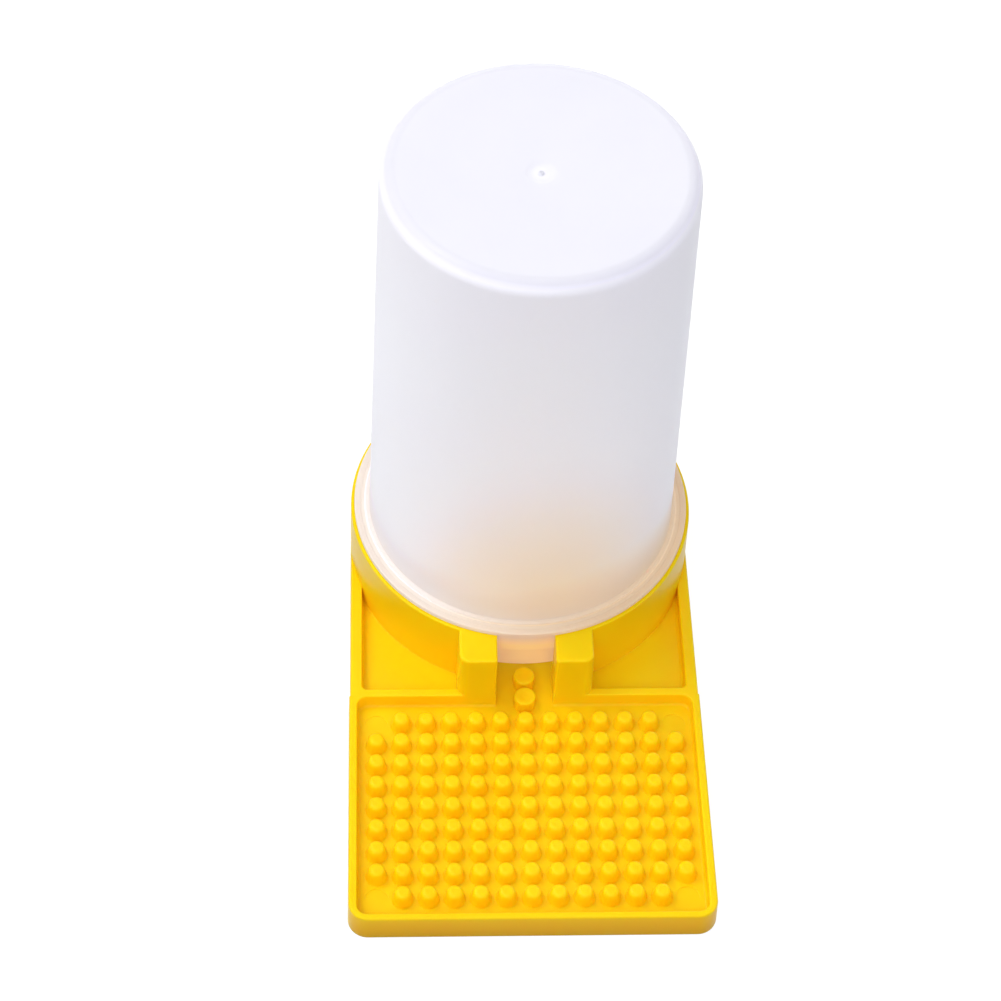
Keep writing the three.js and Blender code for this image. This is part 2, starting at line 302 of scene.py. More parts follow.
def combine(body: Piece, how: Join, *others: Piece) -> Piece:
    """Joins, cuts or intersects one closed mesh with others, one after another.

    Args:
        body: The mesh that stays.
        how: The way in which they combine.
        *others: The meshes that are used up.

    Returns:
        The mesh that stays.
    """
    make_active(body)
    for other in others:
        step = body.modifiers.new(how.name.lower(), "BOOLEAN")
        step.operation = how.value
        step.object = other
        step.solver = "MANIFOLD"
        bpy.ops.object.modifier_apply(modifier=step.name)
        bpy.data.objects.remove(other)
    return body


def joined(name: str, bodies: Sequence[Piece]) -> Piece:
    """Gathers several meshes that don't touch in one object.

    Args:
        name: The new object's name.
        bodies: The meshes, of which the first takes in the others.

    Returns:
        The object that holds them all.
    """
    deselect_all()
    for body in bodies:
        body.select_set(True)
    bpy.context.view_layer.objects.active = bodies[0]
    bpy.ops.object.join()
    bodies[0].name = name
    return bodies[0]


def copied(body: Piece, moves: Sequence[tuple[float, float]]) -> list[Piece]:
    """Copies a mesh to several places, each copy with a mesh of its own.

    Args:
        body: The mesh to copy, which stays where it is.
        moves: How far each copy lies from it, across and along the base.

    Returns:
        The copies.
    """
    copies = []
    for across, along in moves:
        twin = body.copy()
        twin.data = body.data.copy()
        twin.data.transform(Matrix.Translation((across, along, 0)))
        bpy.context.scene.collection.objects.link(twin)
        copies.append(twin)
    return copies


def mirrored(body: Piece) -> Piece:
    """Copies a mesh to the other side of the base.

    Args:
        body: The mesh to copy, which stays where it is.

    Returns:
        Its mirror image.
    """
    twin = copied(body, [(0, 0)])[0]
    make_active(twin)
    bpy.ops.transform.mirror(constraint_axis=(True, False, False), center_override=(0, 0, 0))
    return close_up(settle(twin))


def quarter_round(radius: float, steps: int = EDGE_STEPS) -> list[tuple[float, float]]:
    """Steps of a quarter round: how far each has turned in from upright, and risen."""
    turns = (math.pi / 2 * step / steps for step in range(steps + 1))
    return [(radius * (1 - math.cos(turn)), radius * math.sin(turn)) for turn in turns]


def top_round(radius: float, top: float, size: float, steps: int = EDGE_STEPS, side: int = 1) -> Profile:
    """Rings of a rounded upper edge. Side is -1 where the wall faces the axis."""
    return [(radius - side * turn, top - size + rise) for turn, rise in quarter_round(size, steps)]


def outline(shares: tuple, start: tuple[float, float], size: tuple[float, float]) -> Profile:
    """Rings that are given in shares of a width and a height, from a start."""
    return [(start[0] + size[0] * across, start[1] + size[1] * up) for across, up in shares]


def smooth(piece: Piece, sharp_degrees: float) -> None:
    """Shades a piece smoothly, with its flat faces truly flat and its sharp edges crisp.

    Args:
        piece: The piece to shade.
        sharp_degrees: An edge whose faces meet at more than this stays crisp.
    """
    make_active(piece)
    bpy.ops.object.shade_smooth_by_angle(angle=math.radians(sharp_degrees))
    step = piece.modifiers.new("level_faces", "WEIGHTED_NORMAL")
    step.mode = "FACE_AREA"
    step.weight = FLAT_WEIGHT
    step.keep_sharp = True
    bpy.ops.object.modifier_apply(modifier=step.name)


def feed(node: bpy.types.Node, **values: object) -> None:
    """Sets inputs of a node, each to a constant or from another node's socket.

    Args:
        node: The node.
        **values: The inputs' names in lower case with underscores, and what each gets.
    """
    for name, value in values.items():
        entry = node.inputs[name.replace("_", " ").title().replace("Ior", "IOR")]
        if isinstance(value, Socket):
            node.id_data.links.new(value, entry)
        else:
            entry.default_value = value


def add_node(tree: bpy.types.NodeTree, kind: str, **values: object) -> bpy.types.Node:
    """Adds a node to a tree.

    Args:
        tree: The tree.
        kind: The kind of node.
        **values: What its inputs get, named as in feed.

    Returns:
        The node.
    """
    node = tree.nodes.new(kind)
    feed(node, **values)
    return node


class Shading:
    """Short ways to wire the nodes of one procedural material."""

    def __init__(self, name: str) -> None:
        """Starts a material that holds only its shader and output.

        Args:
            name: The material's name.
        """
        self.material = bpy.data.materials.new(name)
        self.material.use_nodes = True
        self.tree = self.material.node_tree
        self.shader = next(node for node in self.tree.nodes if node.type == "BSDF_PRINCIPLED")
        self.place = self.tree.nodes.new("ShaderNodeTexCoord").outputs["Object"]

    def set(self, **values: object) -> None:
        """Sets inputs of the shader, named as in feed."""
        feed(self.shader, **values)

    def noise(self, size: float, detail: float, stretch: Point = (1, 1, 1)) -> Socket:
        """Adds a noise pattern on the piece's own coordinates.

        Args:
            size: The length of its largest swells.
            detail: How many finer octaves it has.
            stretch: How much each axis is squeezed before the noise is read.

        Returns:
            The socket with the noise, from 0 to 1.
        """
        mapping = add_node(self.tree, "ShaderNodeMapping", scale=stretch, vector=self.place)
        pattern = add_node(self.tree, "ShaderNodeTexNoise", scale=1 / size, detail=detail)
        feed(pattern, vector=mapping.outputs["Vector"])
        return pattern.outputs["Fac"]

    def ramp(self, value: Socket, stops: Sequence[tuple[float, tuple]]) -> Socket:
        """Turns a value into a colour or a grey along a ramp.

        Args:
            value: The socket with the value.
            stops: Place and colour of each stop, in order.

        Returns:
            The socket with the colour.
        """
        node = add_node(self.tree, "ShaderNodeValToRGB", fac=value)
        elements = node.color_ramp.elements
        while len(elements) < len(stops):
            elements.new(0.5)  # moved to its own place below
        for element, (place, colour) in zip(elements, stops, strict=True):
            element.position = place
            element.color = colour
        return node.outputs["Color"]

    def band(self, value: Socket, shares: Sequence[float], levels: Sequence[float]) -> Socket:
        """Turns a value into how much of a layer shows, with a level at each share."""
        stops = zip(shares, levels, strict=True)
        return self.ramp(value, [(share, (level, level, level, 1)) for share, level in stops])

    def clouds(self, size: float, shares: tuple, colours: tuple) -> Socket:
        """Drifts softly from one colour to another and back."""
        return self.ramp(self.noise(size, detail=3), list(zip(shares, colours, strict=True)))

    def range(self, value: Socket, low: float, high: float) -> Socket:
        """Spreads a value from 0 to 1 over another range."""
        node = add_node(self.tree, "ShaderNodeMapRange", to_min=low, to_max=high, value=value)
        return node.outputs["Result"]

    def distance(self, centre: Point, reach: Point) -> Socket:
        """Measures how far a point of the surface lies from a place on the piece.

        Args:
            centre: The place.
            reach: How far it reaches along each axis.

        Returns:
            The socket that is 0 at the place and 1 at the end of its reach.
        """
        scale = [1 / length for length in reach]
        shift = [-at / length for at, length in zip(centre, reach, strict=True)]
        mapping = add_node(self.tree, "ShaderNodeMapping", scale=scale, location=shift, vector=self.place)
        measure = add_node(self.tree, "ShaderNodeVectorMath", vector=mapping.outputs["Vector"])
        measure.operation = "LENGTH"
        return measure.outputs["Value"]

    def near(self, centre: Point, reach: Point) -> Socket:
        """The reverse of distance: 1 at the place, falling to 0 at the end of its reach."""
        return self.range(self.distance(centre, reach), 1, 0)

    def layered(self, colour: Socket, layers: Sequence[tuple[Socket, Colour, Layer]]) -> Socket:
        """Lays colours on one another.

        Args:
            colour: The socket with the colour below them all.
            layers: For each, the socket that says how much of it shows, its colour, and whether
                it covers what is below or tints it.

        Returns:
            The socket with the colour that shows.
        """
        for share, over, how in layers:
            node = self.tree.nodes.new("ShaderNodeMix")
            node.data_type = "RGBA"
            node.blend_type = how.value
            feed(node, factor=share, a=colour, b=over)
            colour = node.outputs["Result"]
        return colour

    def bump(self, layers: Sequence[tuple[Socket, float]]) -> None:
        """Stacks bump layers under the shader.

        Args:
            layers: For each layer, the socket with its height pattern and its depth.
        """
        normal = None
        for pattern, depth in layers:
            node = add_node(self.tree, "ShaderNodeBump", strength=1, distance=depth, height=pattern)
            if normal:
                feed(node, normal=normal)
            normal = node.outputs["Normal"]
        self.set(normal=normal)


def linear(red: int, green: int, blue: int) -> Colour:
    """Turns a display colour, from 0 to 255, into a shader's linear one by the sRGB curve."""
    shares = (channel / 255 for channel in (red, green, blue))
    return (*(s / 12.92 if s <= 0.04045 else ((s + 0.055) / 1.055) ** 2.4 for s in shares), 1.0)


@dataclass(frozen=True)
class YellowPlastic:
    """Glossy yellow polypropylene, as it comes from a polished mould."""

    body: Colour = linear(255, 209, 14)
    cloud: Colour = linear(254, 205, 8)
    cloud_shares: tuple = (0.35, 0.65)
    sheen: Colour = (1.0, 0.88, 0.55, 1.0)
    # painted shade, which darkens the front face towards the floor
    front: Colour = (0.92, 0.68, 0.35, 1.0)
    front_painted_light_reach: Point = (FAR, 6 * MM, 8 * MM)
    roughness: tuple[float, float] = (0.28, 0.38)
    cloud_size: float = 18 * MM
    smear_size: float = 5 * MM
    smear_stretch: Point = (1, 0.5, 1)
    peel_size: float = 0.9 * MM
    peel_depth: float = 0.004 * MM
    sink_size: float = 9 * MM
    sink_depth: float = 0.03 * MM

    def material(self, front: Point) -> bpy.types.Material:
        """Makes the material, with faint clouds, smears of gloss, a moulded skin and painted shade low on the
        front face.

        Args:
            front: The foot of the front face, towards which painted shade darkens the colour.

        Returns:
            The material.
        """
        shading = Shading("yellow_plastic")
        shading.set(ior=PLASTIC_IOR, specular_ior_level=0.18, specular_tint=self.sheen, subsurface_weight=0.7)
        shading.set(subsurface_scale=3.2 * MM, subsurface_radius=(1.0, 0.6, 0.1))
        clouds = shading.clouds(self.cloud_size, self.cloud_shares, (self.cloud, self.body))
        # painted shade: the colour darkens low on the front face, near the floor
        floor_shaded = shading.layered(clouds, [(shading.near(front, self.front_painted_light_reach), self.front, Layer.TINT)])
        smears = shading.noise(self.smear_size, detail=4, stretch=self.smear_stretch)
        shading.set(base_color=floor_shaded, roughness=shading.range(smears, *self.roughness))
        shading.bump([
            (shading.noise(self.sink_size, detail=1), self.sink_depth),
            (shading.noise(self.peel_size, detail=2), self.peel_depth),
        ])
        return shading.material


@dataclass(frozen=True)
class MilkyPlastic:
    """Milky translucent polypropylene, which lets light and a blur of colour through, with more glow and
    shade painted into its colour.
    """

    body: Colour = linear(249, 247, 255)
    cloud: Colour = linear(247, 245, 254)
    cloud_shares: tuple = (0.35, 0.65)
    roughness: tuple[float, float] = (0.38, 0.5)
    cloud_size: float = 30 * MM
    flow_size: float = 6 * MM
    flow_stretch: Point = (1, 1, 0.15)
    peel_size: float = 1.4 * MM
    peel_depth: float = 0.004 * MM
    ripple_size: float = 22 * MM
    ripple_depth: float = 0.05 * MM
    ripple_stretch: Point = (1, 1, 0.4)
    # painted glow: a faint light that the whole bottle gives off, standing in for light scattered through the
    # milky wall
    painted_glow: Colour = (0.88, 0.88, 1.0, 1.0)
    painted_glow_strength: float = 0.15
    # painted glow of the yellow cup on the bottle's foot, set to the right, where the bottle is in shade
    painted_cup_glow: Colour = (0.99, 0.67, 0.10, 1.0)
    cup_glow_shift: float = 30 * MM
    cup_glow_reach: Point = (62 * MM, 130 * MM, 30 * MM)
    # painted glow of the yellow tray on the front of the bottle's foot
    painted_tray_glow: Colour = (0.90, 0.75, 0.40, 1.0)
    tray_glow_shift: float = 6 * MM
    front_painted_light_reach: Point = (40 * MM, 50 * MM, 62 * MM)
    # painted shade, which darkens the closed end that the lamps above light more than the tube
    painted_end_shade: Colour = (0.765, 0.77, 0.745, 1.0)
    end_shade_shares: tuple = (0.79, 0.87)
    # painted shade on the rounded shoulder, which damps the lamps' highlight there
    shoulder: Colour = (0.84, 0.84, 0.85, 1.0)
    shoulder_shade_shares: tuple = (0.77, 0.825, 0.85)
    # painted warm shade on the flange, standing in for the yellow cup's light through it
    seat: Colour = linear(222, 210, 195)
    painted_seat_shares: tuple = (0.936, 0.944)
    # painted warm shade on the bead at the tube's root, as on the flange
    bead: Colour = linear(226, 216, 207)
    bead_shares: tuple = (0.904, 0.908, 0.930, 0.938)
    # painted glow of the yellow cup on the lip, which sits in it
    lip: Colour = linear(246, 214, 100)
    lip_glow_shares: tuple = (0.0, 0.35)
    lip_glow_height: float = 9 * MM
    # painted highlight: a lighter halo round the gate mark
    painted_gate_light: Colour = linear(236, 235, 240)
    painted_gate_light_reach: Point = (3.4 * MM, 3.4 * MM, 6 * MM)
    # painted shadow: a dark dot at the gate's nub
    core: Colour = linear(168, 168, 176)
    gate_shadow_reach: Point = (1 * MM, 1 * MM, 6 * MM)

    def material(self, foot: Point, front: Point, end: Point) -> bpy.types.Material:
        """Makes the material, with flow lines, a faint ripple, and painted glow, shade, highlight and shadow
        in its colour.

        The shares of the end, the shoulder, the seat and the bead are shares of the flange's
        radius. The glows reach a little to the right of the middle, as in the photograph.

        Args:
            foot: The middle of the lip, which sits in the yellow cup.
            front: The front of the flange, nearest to the yellow tray.
            end: The middle of the closed end, whose wall is thicker; painted shade darkens the colour round
                it.

        Returns:
            The material.
        """
        shading = Shading("milky_plastic")
        shading.set(ior=PLASTIC_IOR, specular_ior_level=0.28, transmission_weight=0.15, subsurface_weight=1.0)
        shading.set(subsurface_scale=0.5 * MM, subsurface_radius=(1.0, 1.0, 1.0))
        # painted glow: the bottle gives off a faint bluish light of its own
        shading.set(emission_color=self.painted_glow, emission_strength=self.painted_glow_strength)
        clouds = shading.clouds(self.cloud_size, self.cloud_shares, (self.cloud, self.body))
        radius = end[1] - front[1]
        from_axis = shading.distance((0, end[1], front[2]), (radius, radius, FAR))
        by_lip = shading.near(foot, (FAR, FAR, self.lip_glow_height))
        coloured = shading.layered(clouds, [
            # painted glow of the yellow tray on the bottle's front
            (shading.near((self.tray_glow_shift, *front[1:]), self.front_painted_light_reach), self.painted_tray_glow, Layer.TINT),
            # painted shade on the closed end
            (shading.band(from_axis, self.end_shade_shares, (1, 0)), self.painted_end_shade, Layer.TINT),
            # painted shade on the shoulder
            (shading.band(from_axis, self.shoulder_shade_shares, (0, 1, 0)), self.shoulder, Layer.TINT),
            # painted highlight round the gate
            (shading.near(end, self.painted_gate_light_reach), self.painted_gate_light, Layer.PAINT),
            # painted shadow at the gate's nub
            (shading.near(end, self.gate_shadow_reach), self.core, Layer.PAINT),
            # painted warm shade on the flange
            (shading.band(from_axis, self.painted_seat_shares, (0, 1)), self.seat, Layer.PAINT),
            # painted warm shade on the bead
            (shading.band(from_axis, self.bead_shares, (0, 1, 1, 0)), self.bead, Layer.PAINT),
            # painted glow of the yellow cup, stronger on the right
            (shading.near((self.cup_glow_shift, *foot[1:]), self.cup_glow_reach), self.painted_cup_glow, Layer.TINT),
            # painted glow of the yellow cup on the lip
            (shading.band(by_lip, self.lip_glow_shares, (0, 1)), self.lip, Layer.PAINT),
        ])
        flow = shading.noise(self.flow_size, detail=3, stretch=self.flow_stretch)
        shading.set(base_color=coloured, roughness=shading.range(flow, *self.roughness))
        shading.bump([
            (shading.noise(self.ripple_size, detail=1, stretch=self.ripple_stretch), self.ripple_depth),
            (shading.noise(self.peel_size, detail=2), self.peel_depth),
        ])
        return shading.material


@dataclass
class FeederBase:
    """The yellow moulding: tray with knobs, pockets, channel with posts, cup and underside."""

    places: Places
    rim_z: float = 7.5 * MM
    floor_z: float = 3.6 * MM
    underside_depth: float = 1.6 * MM
    side_draft: float = 0.2 * MM
    front_corner: float = 4.7 * MM
    edge_round: float = 0.5 * MM
    inner_ease: float = 0.35 * MM
    fillet: float = 0.9 * MM
    tray_length: float = 59.8 * MM
    tray_wall: float = 2.1 * MM
    tray_corner: float = 2.6 * MM
    pocket_wall: float = 3 * MM
    pocket_corner: float = 1.5 * MM
    knob_pitch: float = 6 * MM
    knob_columns: int = 13
    knob_rows: int = 9
    knob_height: float = 3.6 * MM
    knob_foot_radius: float = 2.6 * MM
    knob_shares: tuple = (
        (1.0, -0.15), (1.0, 0.01), (0.93, 0.07), (0.885, 0.2), (0.85, 0.4), (0.805, 0.6), (0.75, 0.76),
        (0.68, 0.87), (0.59, 0.94), (0.49, 0.98), (0.38, 0.995), (0.27, 0.995), (0.15, 0.985), (0.05, 0.98),
    )
    knob_steps: int = 24
    channel_knob_radius: float = 2.6 * MM
    pin_steps: int = 48
    pin_shares: tuple = ((1, -0.15), (1, 0))
    dish_shares: tuple = ((0.55, 0.0), (0.45, 0.02), (0.2, 0.03), (0.05, 0.03))
    channel_knobs: int = 2
    mark_radius: float = 2.8 * MM
    mark_depth: float = 0.15 * MM
    slot_half: float = 7.0 * MM
    post_width: float = 9.1 * MM
    post_corner: float = 2.4 * MM
    post_inner_corner: float = 0.8 * MM
    post_round: float = 0.6 * MM
    post_draft: float = 0.4 * MM
    post_shell: float = 1.6 * MM
    cup_foot: float = 0.2 * MM
    cup_wall: float = 1.5 * MM
    cup_draft: float = 0.3 * MM
    cup_round: float = 0.45 * MM
    rib_width: float = 1.2 * MM
    rib_spacing: float = 20.5 * MM
    sharp_degrees: float = 32

    @property
    def tray_front(self) -> float:
        """The inside of the tray's front wall."""
        return self.places.front_y + self.tray_wall

    @property
    def tray_back(self) -> float:
        """The inside of the wall between the tray and the pockets."""
        return self.tray_front + self.tray_length

    @property
    def cup_foot_radius(self) -> float:
        """The outer radius of the cup at its foot, where it ends at the base's sides."""
        return self.places.deck_half_width

    @property
    def bore_rim_radius(self) -> float:
        """The inner radius of the cup at its rim."""
        return self.cup_foot_radius - self.cup_draft - self.cup_wall

    @property
    def root_z(self) -> float:
        """A level inside the floor, where what stands on the floor begins."""
        return self.floor_z - self.underside_depth / 2

    def plan_prism(self, name: str, inset: float, low_z: float, high_z: float) -> Piece:
        """Makes an upright body on the plan of the base: square in front, round behind.

        The sides stand in by a small step where the tray ends and the pockets begin.

        Args:
            name: The body's name.
            inset: How far it stays inside the base's outline.
            low_z: Its bottom.
            high_z: Its top.

        Returns:
            The closed body.
        """
        places = self.places
        step = places.half_width - places.deck_half_width
        radius = places.deck_half_width - inset
        deselect_all()
        bpy.ops.mesh.primitive_circle_add(
            vertices=ROUND_STEPS, radius=radius, fill_type="NGON", location=(0, places.cup_y, low_z)
        )
        body = settle(bpy.context.object)
        body.name = name
        front = places.front_y + inset
        with editing(body):
            bpy.ops.mesh.select_all(action="SELECT")
            bpy.ops.mesh.bisect(
                plane_co=(0, places.cup_y, low_z), plane_no=(0, 1, 0), clear_inner=True, threshold=CLOSE
            )
            select_edges(body, lambda a, b: max(a.y, b.y) < places.cup_y + CLOSE)
            step_y = self.tray_back + step
            extrude_edges((0, step_y - places.cup_y, 0))
            extrude_edges((0, -step, 0))
            bpy.ops.transform.resize(value=((radius + step) / radius, 1, 1), center_override=(0, 0, low_z))
            extrude_edges((0, front - self.tray_back, 0))
            bpy.ops.mesh.select_mode(type="VERT")
            bpy.ops.mesh.bevel(
                affect="VERTICES", offset=self.front_corner - inset, segments=CORNER_STEPS, profile=0.5
            )
            bpy.ops.mesh.select_all(action="SELECT")
            raise_faces(high_z - low_z)
        return close_up(body)

    def deck(self) -> Piece:
        """Makes the slab that the tray and the pockets are sunk into, with drafted sides.

        Returns:
            The slab, with its outer edges rounded.
        """
        places = self.places
        slab = self.plan_prism("feeder_moulding", 0, 0, self.rim_z)
        narrowing = 1 - self.side_draft / places.half_width
        with editing(slab):
            select_edges(slab, above(self.rim_z))
            bpy.ops.transform.resize(value=(narrowing, narrowing, 1), center_override=(0, places.cup_y, 0))
            bpy.ops.mesh.select_all(action="SELECT")
            bpy.ops.mesh.dissolve_limited(angle_limit=math.radians(FLAT_DEGREES))
            round_edges(slab, above(self.rim_z), self.edge_round)
            round_edges(slab, below(0), self.inner_ease)
        return close_up(slab)

    def hollow_cutter(self, name: str, half: float, near: float, far: float, corner: float) -> Piece:
        """Makes the tool for a hollow with round corners, a filleted floor and an eased rim.

        Args:
            name: The tool's name.
            half: Half the width of the hollow.
            near: Its front end.
            far: Its back end.
            corner: The radius of its upright corners.

        Returns:
            The tool.
        """
        top = self.rim_z - self.inner_ease
        tool = add_block(name, (-half, near, self.floor_z), (half, far, top))
        centre = (0, (near + far) / 2, top)
        half_length = far - centre[1]
        with editing(tool):
            round_edges(tool, upright, corner, CORNER_STEPS)
            round_edges(tool, below(self.floor_z), self.fillet)
            select_edges(tool, above(top))
            wide, rise = 0.0, 0.0
            for turn, next_rise in quarter_round(self.inner_ease)[1:]:
                growth = ((half + turn) / (half + wide), (half_length + turn) / (half_length + wide), 1)
                raise_faces(next_rise - rise)
                bpy.ops.transform.resize(value=growth, center_override=centre)
                wide, rise = turn, next_rise
            raise_faces(OVERRUN)
        return close_up(tool)

    def tray_cutter(self) -> Piece:
        """Makes the tool for the drinking tray."""
        half = self.places.half_width - self.tray_wall
        return self.hollow_cutter("tray", half, self.tray_front, self.tray_back, self.tray_corner)

    def pocket_cutter(self) -> Piece:
        """Makes the tool for both pockets, whose middle the cup and the posts fill again."""
        half, near = self.places.deck_half_width - self.pocket_wall, self.tray_back + self.tray_wall
        return self.hollow_cutter("pockets", half, near, self.places.cup_y, self.pocket_corner)

    def cup(self) -> Piece:
        """Makes the cup before it is bored, with a filleted foot that ends at the base's sides.

        Returns:
            The body of the cup.
        """
        top = self.places.cup_rim_z
        foot = [
            (self.cup_foot_radius + self.cup_foot - rise, self.floor_z + turn)
            for turn, rise in quarter_round(self.cup_foot)
        ]
        rim = top_round(self.cup_foot_radius - self.cup_draft, top, self.cup_round)
        profile = [(foot[0][0], self.root_z), *foot, *rim]
        body = turned("cup", profile, ROUND_STEPS, y=self.places.cup_y)
        sides = self.plan_prism("cup_sides", self.side_draft, 0, top + OVERRUN)
        return combine(body, Join.KEEP_SHARED, sides)

    def bore_cutter(self) -> Piece:
        """Makes the tool that bores the cup, with a filleted floor and a rounded rim.

        Returns:
            The tool.
        """
        top = self.places.cup_rim_z
        foot_radius = self.bore_rim_radius - self.cup_draft
        foot = [
            (foot_radius - self.fillet + rise, self.floor_z + turn)
            for turn, rise in quarter_round(self.fillet)
        ]
        rim = top_round(self.bore_rim_radius, top, self.cup_round, side=-1)
        profile = [*foot, *rim, (rim[-1][0], top + OVERRUN)]
        return turned("bore", profile, ROUND_STEPS, y=self.places.cup_y)

    def post(self) -> Piece:
        """Makes the right post, with a wide outer corner, a small inner one and a round top.

        Returns:
            The post, which runs back into the cup.
        """
        top = self.places.cup_rim_z
        inner, outer = self.slot_half, self.slot_half + self.post_width
        back = self.places.cup_y - self.bore_rim_radius / 2
        foot = (inner, self.tray_back, self.root_z)
        body = add_block("post", foot, (outer, back, top))
        with editing(body):
            round_edges(body, ahead_of(back, upright_at(outer)), self.post_corner, CORNER_STEPS)
            round_edges(body, ahead_of(back, upright_at(inner)), self.post_inner_corner)
            round_edges(body, ahead_of(back, above(top)), self.post_round)
            select_edges(body, below(self.root_z))
            widening = 1 + self.post_draft / self.post_width
            bpy.ops.transform.resize(value=(widening, 1, 1), center_override=foot)
        return close_up(body)

    def slot_cutter(self) -> Piece:
        """Makes the tool that opens the channel between the posts, from the tray to the cup."""
        low = (-self.slot_half, self.tray_back - self.fillet - OVERRUN, self.floor_z)
        return add_block("slot", low, (self.slot_half, self.places.cup_y, self.places.cup_rim_z + OVERRUN))

    def underside_cutter(self) -> Piece:
        """Makes the tool for the hollow under the floor, with gaps where the ribs stay.

        Returns:
            The tool.
        """
        places = self.places
        low, tall = 2 * -OVERRUN, self.underside_depth + OVERRUN
        tool = self.plan_prism("underside", self.tray_wall, -OVERRUN, self.underside_depth)
        outer = places.deck_half_width
        inner = outer - self.tray_wall
        section = [(inner, low), (outer, low), (outer, tall), (inner, tall), (inner, low)]
        ring = turned("ring_rib", section, ROUND_STEPS, y=places.cup_y)
        wall, wide = self.tray_wall, places.half_width
        thin, inside = self.rib_width / 2, outer - wall / 2
        plans = [
            (-wide, self.tray_back, wide, self.tray_back + wall),
            *((x - thin, places.front_y, x + thin, self.tray_back + wall / 2)
              for x in (-self.rib_spacing, 0, self.rib_spacing)),
            (-inside, places.cup_y - thin, inside, places.cup_y + thin),
            (-thin, places.cup_y - inside, thin, places.cup_y + inside),
        ]
        ribs = [add_block("rib", (left, near, low), (right, far, tall)) for left, near, right, far in plans]
        return combine(tool, Join.CUT, ring, *ribs)

    def post_core(self) -> Piece:
        """Makes the tool that cores the right post from below, as far back as the cup's wall.

        Returns:
            The tool.
        """
        shell = self.post_shell
        places = self.places
        low = (self.slot_half + shell, self.tray_back + shell, -OVERRUN)
        high = (self.slot_half + self.post_width - shell, places.cup_y, places.cup_rim_z - shell)
        tool = add_block("post_core", low, high)
        with editing(tool):
            round_edges(tool, upright, shell / 2)
        skin = self.bore_rim_radius + shell
        profile = [(skin, 2 * low[2]), (skin, places.cup_rim_z)]
        return combine(tool, Join.CUT, turned("cup_skin", profile, ROUND_STEPS, y=places.cup_y))

    def knob_profile(self) -> Profile:
        """The outline of one knob: a flared foot, a leaning side and a crown with a dimple."""
        return outline(self.knob_shares, (0, self.floor_z), (self.knob_foot_radius, self.knob_height))

    def channel_knob_profile(self) -> Profile:
        """The outline of a channel knob: a plain pin with a rounded edge and a shallow centre.

        Returns:
            Radius and height of each ring.
        """
        radius, height = self.channel_knob_radius, self.knob_height
        top = self.floor_z + height
        pin = outline(self.pin_shares, (0, self.floor_z), (radius, height))
        dish = outline(self.dish_shares, (0, top), (radius, -height))
        return [*pin, *top_round(radius, top, self.inner_ease), *dish]

    def knob_grid(self) -> tuple[list[tuple[float, float]], list[tuple[float, float]]]:
        """Works out the places of the knobs and of the marks at the grid's corners.

        Returns:
            The places of the knobs, and those of the round ejector marks.
        """
        first_x = -(self.knob_columns - 1) * self.knob_pitch / 2
        first_y = self.tray_front + (self.tray_length - (self.knob_rows - 1) * self.knob_pitch) / 2
        knobs, marks = [], []
        for column in range(self.knob_columns):
            for row in range(self.knob_rows):
                place = (first_x + column * self.knob_pitch, first_y + row * self.knob_pitch)
                at_corner = column in (0, self.knob_columns - 1) and row in (0, self.knob_rows - 1)
                (marks if at_corner else knobs).append(place)
        return knobs, marks

    def knobs(self) -> Piece:
        """Makes all the knobs: the grid in the tray and the row through the channel.

        Returns:
            One object that holds every knob.
        """
        places, _ = self.knob_grid()
        knob = turned("knob", self.knob_profile(), self.knob_steps)
        pin = turned("channel_knob", self.channel_knob_profile(), self.pin_steps)
        last_y = max(y for _, y in places)
        pin_places = [(0, last_y + (count + 1) * self.knob_pitch) for count in range(self.channel_knobs)]
        every = copied(knob, places) + copied(pin, pin_places)
        for pattern in (knob, pin):
            bpy.data.objects.remove(pattern)
        return joined("knobs", every)

    def marks(self) -> Piece:
        """Makes the tool for the round marks of the ejector pins in the tray's corners.

        Returns:
            One object that holds the tools of all four.
        """
        _, places = self.knob_grid()
        low, high = self.floor_z - self.mark_depth, self.floor_z + OVERRUN
        mark = turned("mark", [(self.mark_radius, low), (self.mark_radius, high)], self.pin_steps)
        copies = copied(mark, places)
        bpy.data.objects.remove(mark)
        return joined("marks", copies)

    def build(self, finish: bpy.types.Material) -> Piece:
        """Makes the moulding, dresses it and sets it on its body.

        Args:
            finish: The material of the moulding.

        Returns:
            The finished piece.
        """
        body = self.deck()
        post, core = self.post(), self.post_core()
        combine(body, Join.CUT, self.tray_cutter(), self.pocket_cutter())
        combine(body, Join.ADD, self.cup(), post, mirrored(post))
        combine(body, Join.CUT, self.bore_cutter(), self.slot_cutter(), self.underside_cutter())
        combine(body, Join.CUT, core, mirrored(core), self.marks())
        combine(body, Join.ADD, self.knobs())
        smooth(body, self.sharp_degrees)
        body.data.materials.clear()
        body.data.materials.append(finish)
        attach(body, BodyName.BASE.value)
        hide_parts("feeder_base")
        return body


